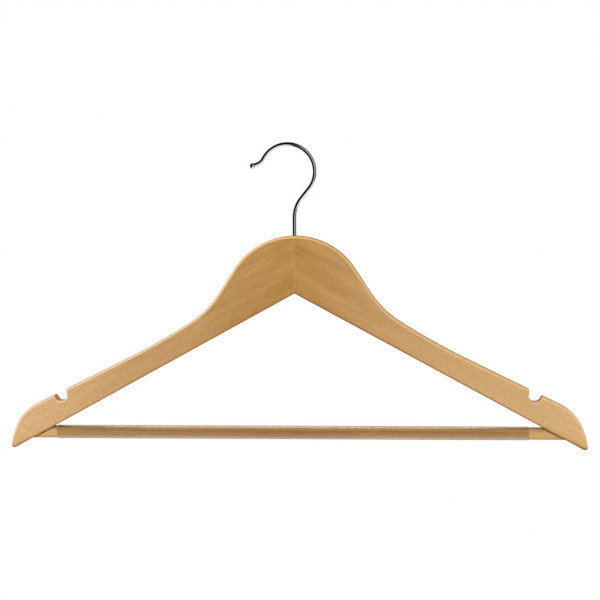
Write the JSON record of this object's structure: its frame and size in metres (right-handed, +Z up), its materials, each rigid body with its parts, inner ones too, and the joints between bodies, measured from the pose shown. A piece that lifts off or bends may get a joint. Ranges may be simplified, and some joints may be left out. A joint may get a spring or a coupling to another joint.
{
  "type": "clothes hanger",
  "caption": "Flat wooden suit hanger with notched shoulders, a swivelling chromed wire hook and a round trouser bar in a clear non-slip sleeve.",
  "frame": {"origin": "where a rail touches the inside of the hook, straight above its shank", "axes": "+Z up along the hook's shank, +X to the right along the arms, +Y to the back, square to the flat faces"},
  "size_m": [0.4452, 0.012, 0.2353],
  "materials": {
    "lacquered_wood": "satin clear lacquer over pale hardwood",
    "bar_wood": "satin clear lacquer",
    "clear_sleeve": "clear soft tube with fine ribs along it",
    "chromed_wire": "bright chrome plating",
    "brass": "turned",
    "pin_steel": "plain drawn wire"
  },
  "bodies": {
    "hook": {"swivel_hook": "chromed_wire"},
    "hanger": {"left_arm": "lacquered_wood", "right_arm": "lacquered_wood", "trouser_bar": "bar_wood", "grip_sleeve": "clear_sleeve", "hook_ferrule": "brass", "left_bar_pin": "pin_steel", "right_bar_pin": "pin_steel"}
  },
  "joints": [
    {"name": "hook_swivel", "type": "hinge", "parent": "hook", "child": "hanger", "pos_m": [0, 0, -0.0679], "axis": [0, 0, 1], "continuous": true}
  ]
}
